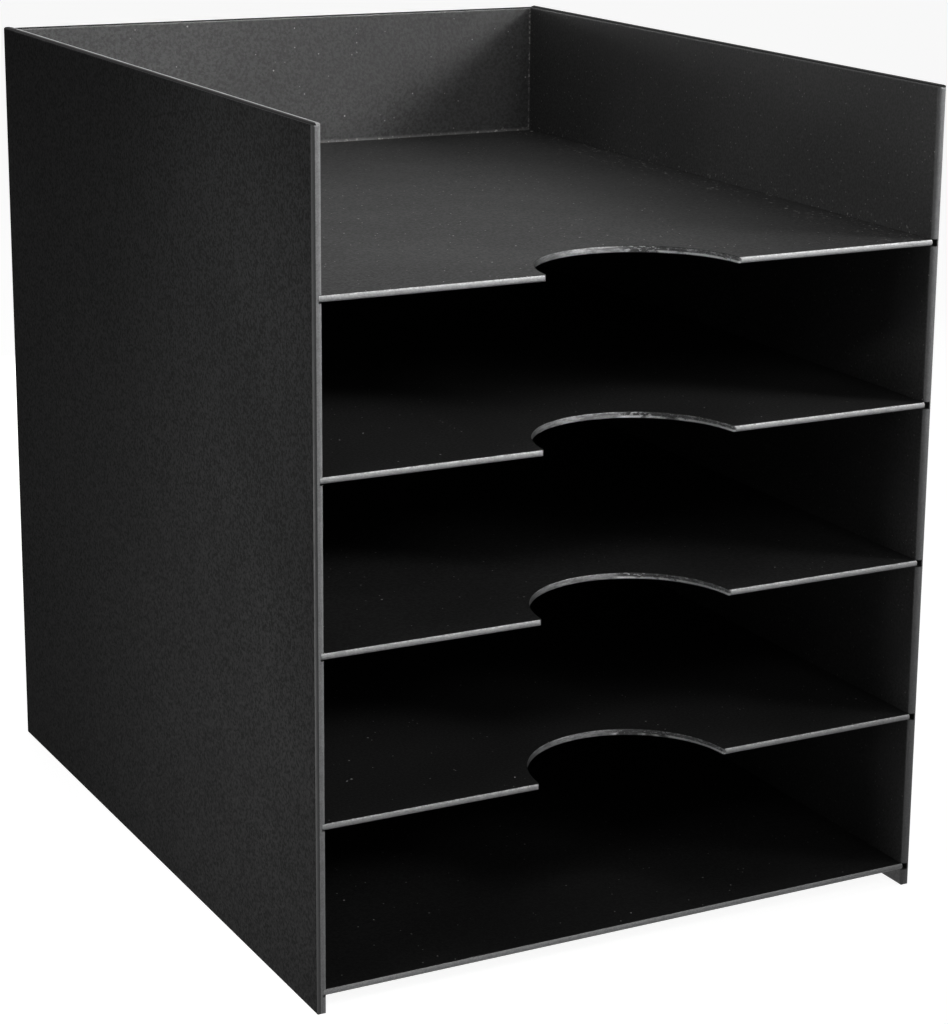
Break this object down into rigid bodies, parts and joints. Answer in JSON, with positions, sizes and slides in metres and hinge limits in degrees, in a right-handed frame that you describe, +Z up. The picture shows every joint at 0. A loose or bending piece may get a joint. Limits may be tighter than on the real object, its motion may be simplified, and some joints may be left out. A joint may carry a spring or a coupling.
{
  "type": "letter tray stack",
  "caption": "Open letter tray stack: grooved side panels and a back hold a bottom board and pull-out shelves with round finger cut-outs.",
  "frame": {"origin": "centre of the footprint, on the surface that the side panels stand on", "axes": "+X to the right seen from the open front, +Y to the rear, +Z up"},
  "size_m": [0.26, 0.325, 0.322],
  "materials": {
    "panel_cover": "black cover sheet with a fine pebbled emboss, low sheen",
    "shelf_cover": "black cover sheet, smoother, low sheen",
    "panel_core": "grey fibreboard, sawn and rounded edge",
    "shelf_core": "light grey fibreboard, sawn and rounded edge"
  },
  "bodies": {
    "carcass": {"left_panel_outer_cover": "panel_cover", "left_panel_core": "panel_core", "left_panel_inner_cover": "panel_cover", "right_panel_outer_cover": "panel_cover", "right_panel_core": "panel_core", "right_panel_inner_cover": "panel_cover", "back_panel_front_cover": "panel_cover", "back_panel_core": "panel_core", "back_panel_rear_cover": "panel_cover", "bottom_board_top_cover": "shelf_cover", "bottom_board_core": "shelf_core", "bottom_board_under_cover": "shelf_cover"},
    "lower_shelf": {"lower_shelf_top_cover": "shelf_cover", "lower_shelf_core": "shelf_core", "lower_shelf_under_cover": "shelf_cover"},
    "middle_shelf": {"middle_shelf_top_cover": "shelf_cover", "middle_shelf_core": "shelf_core", "middle_shelf_under_cover": "shelf_cover"},
    "upper_shelf": {"upper_shelf_top_cover": "shelf_cover", "upper_shelf_core": "shelf_core", "upper_shelf_under_cover": "shelf_cover"},
    "top_shelf": {"top_shelf_top_cover": "shelf_cover", "top_shelf_core": "shelf_core", "top_shelf_under_cover": "shelf_cover"}
  },
  "joints": [
    {"name": "lower_shelf_slide", "type": "slide", "parent": "carcass", "child": "lower_shelf", "axis": [0, -1, 0], "range_m": [0, 0.325]},
    {"name": "middle_shelf_slide", "type": "slide", "parent": "carcass", "child": "middle_shelf", "axis": [0, -1, 0], "range_m": [0, 0.325]},
    {"name": "upper_shelf_slide", "type": "slide", "parent": "carcass", "child": "upper_shelf", "axis": [0, -1, 0], "range_m": [0, 0.325]},
    {"name": "top_shelf_slide", "type": "slide", "parent": "carcass", "child": "top_shelf", "axis": [0, -1, 0], "range_m": [0, 0.325]}
  ]
}
